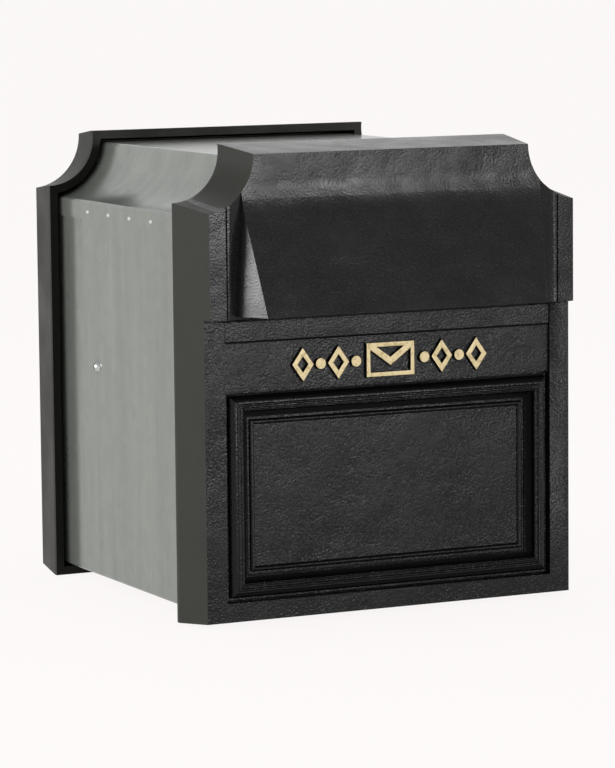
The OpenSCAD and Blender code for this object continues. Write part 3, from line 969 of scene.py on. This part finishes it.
@dataclass
class Studio:
    """Camera, floor, backdrop and lights.

    The camera is the photograph's, fitted in millimetres in the wall face's frame.

    Attributes:
        target: Point that the camera's distance is counted from.
        yaw_deg: Turn of the camera round the upright axis.
        pitch_deg: Height of the camera above the horizon.
        roll_deg: Tilt of the picture.
        distance: Distance from the target.
        focal_px: Focal length in photo pixels.
        centre_px: Principal point in photo pixels.
        sensor_mm: Width of the camera's sensor.
        sight_m: How far the camera sees.
        paper: Colour of the floor and backdrop.
        paper_glow: Share of the paper's colour that is seen without any light.
        paper_shade: Colour that takes the object's shadow.
        bounce: Colour of the floor in the light that it throws back on the object.
        floor_half_m: Half the side of the floor.
        sky: Height of a ray and brightness of the surroundings there, from low to high.
        back_lift: How much higher the band of light stands behind the object.
        aim_height_m: Height of the middle of the box.
        softboxes: The lights.
    """

    target: tuple[float, float, float] = (-27.839, 60.0, 179.818)
    yaw_deg: float = -25.873
    pitch_deg: float = 6.712
    roll_deg: float = -0.581
    distance: float = 3089.009
    focal_px: float = 3739.573
    centre_px: tuple[float, float] = (301.009, 381.063)
    sensor_mm: float = 36.0
    sight_m: float = 200.0
    paper: str = "#FBF8F7"
    paper_glow: float = 0.95
    paper_shade: str = "#4A4949"
    bounce: str = "#E6E4E3"
    floor_half_m: float = 90.0
    sky: tuple[tuple[float, float], ...] = ((0.0, 1.0), (0.1, 0.88), (0.42, 0.78), (0.75, 0.5))
    back_lift: float = 0.35
    aim_height_m: float = 0.18
    softboxes: tuple[Softbox, ...] = (
        Softbox("left_softbox", place=(-2.7, 0.75, 0.55), size=(1.5, 0.9), power=54.0),
        Softbox("top_softbox", place=(0.3, 0.3, 2.6), size=(2.0, 2.0), power=12.0),
        Softbox("low_front_box", place=(0.85, -2.8, 0.5), size=(1.0, 0.6), power=34.0),
    )

    def add_camera(self) -> None:
        """Put the camera where the photograph was taken from."""
        yaw, pitch, roll = (math.radians(a) for a in (self.yaw_deg, self.pitch_deg, self.roll_deg))
        back = Vector(
            (math.sin(yaw) * math.cos(pitch), -math.cos(yaw) * math.cos(pitch), math.sin(pitch))
        )
        right = Vector((math.cos(yaw), math.sin(yaw), 0))
        up = back.cross(right)
        side = right * math.cos(roll) + up * math.sin(roll)
        top = up * math.cos(roll) - right * math.sin(roll)
        to_wall = Vector((0, WALL_TO_ORIGIN, 0))
        eye = (Vector(self.target) + back * self.distance - to_wall) * MM
        data = bpy.data.cameras.new("photo_camera")
        data.sensor_width = self.sensor_mm
        data.lens = self.focal_px * data.sensor_width / PHOTO_HEIGHT_PX
        data.shift_x = (PHOTO_WIDTH_PX / 2 - self.centre_px[0]) / PHOTO_HEIGHT_PX
        data.shift_y = (self.centre_px[1] - PHOTO_HEIGHT_PX / 2) / PHOTO_HEIGHT_PX
        data.clip_end = self.sight_m
        camera = bpy.data.objects.new("photo_camera", data)
        bpy.context.scene.collection.objects.link(camera)
        camera.matrix_world = Matrix.Translation(eye) @ Matrix(
            ((side.x, top.x, back.x), (side.y, top.y, back.y), (side.z, top.z, back.z))
        ).to_4x4()
        bpy.context.scene.camera = camera

    def seen_directly(self, tree: bpy.types.NodeTree) -> bpy.types.NodeSocket:
        """Give 1 for camera, glossy and transmission rays.

        Args:
            tree: Node tree that takes the nodes.

        Returns:
            The factor socket.
        """
        path = add_node(tree, "ShaderNodeLightPath")
        shiny = add_node(
            tree,
            "ShaderNodeMath",
            settings={"operation": "MAXIMUM"},
            inputs={0: path.outputs["Is Glossy Ray"], 1: path.outputs["Is Transmission Ray"]},
        )
        either = add_node(
            tree,
            "ShaderNodeMath",
            settings={"operation": "MAXIMUM"},
            inputs={0: path.outputs["Is Camera Ray"], 1: shiny.outputs[0]},
        )
        return either.outputs[0]

    def add_floor(self) -> None:
        """Lay a pale paper floor that keeps the object's soft shadow."""
        mesh = bmesh.new()
        bmesh.ops.create_grid(mesh, x_segments=1, y_segments=1, size=self.floor_half_m)
        data = bpy.data.meshes.new("floor")
        mesh.to_mesh(data)
        mesh.free()
        material, tree, shader = new_material("paper_floor")
        shader.inputs["Base Color"].default_value = linear(self.bounce)
        shader.inputs["Roughness"].default_value = 1.0
        shader.inputs["Specular IOR Level"].default_value = 0.0
        shade = add_node(
            tree, "ShaderNodeBsdfDiffuse", inputs={"Color": linear(self.paper_shade)}
        )
        glow = add_node(
            tree,
            "ShaderNodeEmission",
            inputs={"Color": linear(self.paper), "Strength": self.paper_glow},
        )
        paper = add_node(
            tree, "ShaderNodeAddShader", inputs={0: glow.outputs[0], 1: shade.outputs[0]}
        )
        both = add_node(
            tree,
            "ShaderNodeMixShader",
            inputs={0: self.seen_directly(tree), 1: shader.outputs[0], 2: paper.outputs[0]},
        )
        tree.links.new(both.outputs[0], tree.nodes["Material Output"].inputs["Surface"])
        data.materials.append(material)
        floor = bpy.data.objects.new("floor", data)
        bpy.context.scene.collection.objects.link(floor)

    def add_world(self) -> None:
        """Ring the object with a low band of soft light under a dim ceiling."""
        world = bpy.data.worlds.new("studio")
        bpy.context.scene.world = world
        world.use_nodes = True
        tree = world.node_tree
        tree.nodes.clear()
        place = add_node(tree, "ShaderNodeTexCoord")
        ray = add_node(tree, "ShaderNodeSeparateXYZ", inputs={0: place.outputs["Generated"]})
        behind = add_node(
            tree,
            "ShaderNodeMath",
            settings={"operation": "MAXIMUM"},
            inputs={0: ray.outputs["Y"], 1: 0.0},
        )
        lowered = add_node(
            tree,
            "ShaderNodeMath",
            settings={"operation": "MULTIPLY_ADD"},
            inputs={0: behind.outputs[0], 1: -self.back_lift, 2: ray.outputs["Z"]},
        )
        stops = [(height, (level, level, level, 1.0)) for height, level in self.sky]
        band = add_node(
            tree, "ShaderNodeValToRGB", inputs={0: lowered.outputs[0]}, stops=stops
        )
        sky = add_node(
            tree,
            "ShaderNodeBackground",
            inputs={"Color": band.outputs["Color"], "Strength": 1.0},
        )
        add_node(tree, "ShaderNodeOutputWorld", inputs={"Surface": sky.outputs[0]})

    def build(self) -> None:
        """Make the whole studio."""
        self.add_camera()
        self.add_floor()
        self.add_world()
        for softbox in self.softboxes:
            softbox.add(Vector((0.0, 0.0, self.aim_height_m)))
        bpy.context.scene.view_settings.view_transform = "Standard"


def front_coats() -> dict[Coat, bpy.types.Material]:
    """Make the front casting's finishes.

    Returns:
        The finish of each coat.
    """
    return {
        # Glossy over the sand's skin: small soft glints all over the field and border
        Coat.ENAMEL: CastIronPaint("gloss_enamel_on_cast_iron").build(),
        # Gold brushed on by hand: warm, a little streaky, dull beside the black
        Coat.GILT: GiltEnamel("brushed_gold_enamel").build(),
        # The rim's sides are ground flat: smooth and even; their lighter greenish grey is partly a
        # painted sheen from the light at the left
        Coat.SIDES: CastIronPaint(
            "ground_enamel_with_painted_sheen",
            colour="#181A13",
            edge_colour="#1E2018",
            gloss=Gloss.SATIN,
            grain_height_mm=0.04,
            wave_height_mm=0.5,
            specular=0.16,
        ).build(),
        # The cheeks are filed: they mirror the lights beside them and look pale
        Coat.FETTLED: CastIronPaint(
            "gloss_enamel_on_filed_iron", grain_height_mm=0.12, wave_height_mm=1.2, specular=0.46
        ).build(),
        # The hood is rubbed down before it is painted: a calmer sheen, less grain
        Coat.HOOD: CastIronPaint(
            "gloss_enamel_on_rubbed_iron", grain_height_mm=0.16, specular=0.2
        ).build(),
        # Painted shade: the mouth, the steps, the ornament's foot and the moulding's ledges and
        # quirks are made matt and near black
        Coat.HOLLOW: CastIronPaint(
            "enamel_darkened_as_painted_shade", colour="#060607", edge_colour="#0A0A0A", specular=0.04
        ).build(),
    }


def main() -> None:
    """Build the studio, the castings and the finishes, in order."""
    logging.basicConfig(level=logging.INFO, format="%(name)s: %(message)s")
    Studio().build()
    coats = front_coats()
    # Out of the weather and touched less: an even satin black with little grain
    rear = CastIronPaint(
        "satin_enamel_on_cast_iron",
        colour="#131310",
        edge_colour="#1A1A17",
        gloss=Gloss.SATIN,
        grain_height_mm=0.1,
        wave_height_mm=0.8,
        specular=0.12,
    ).build()
    Castings().build(coats, rear)
    # Zinc dulled outdoors: grey with faint upright streaks
    outer = GalvanisedSheet("galvanised_sheet_outer").build()
    # The sliding sleeve stays under cover, so its zinc is brighter
    inner = GalvanisedSheet("galvanised_sheet_inner", light="#8C908A", shade="#7E827C").build()
    # Bright plating gives small parts a clean sharp glint
    zinc = PlainMetal("zinc_plated_steel", "#C4C6C6").build()
    # Hammered heads are dull and scatter the light
    rivet = PlainMetal("mild_steel_rivet", "#9A9D97", roughness=0.55).build()
    # The lock's housing is the brightest metal, with a warm white gleam
    chrome = PlainMetal("nickel_plated_zinc", "#D2D1CC", roughness=0.2).build()
    # The plug shows yellow brass round the keyway
    brass = PlainMetal("turned_brass", "#C7A863", roughness=0.3).build()
    Dressing(
        {
            "outer_tub": outer,
            "outer_roof": outer,
            "outer_rivets": rivet,
            "front_sleeve_screws": zinc,
            "slide_lock_screws": zinc,
            "slide_lock_washers": zinc,
            "slide_lock_nuts": zinc,
            "inner_tub": inner,
            "inner_roof": inner,
            "inner_rivets": rivet,
            "rear_sleeve_screws": zinc,
            "hinge_pin_upper": rivet,
            "hinge_pin_lower": rivet,
            "lock_body": chrome,
            "lock_nut": zinc,
            "lock_plug": brass,
            "lock_cam": zinc,
            "cam_washer": zinc,
            "cam_screw": zinc,
        }
    ).apply()


if __name__ == "__main__":
    main()
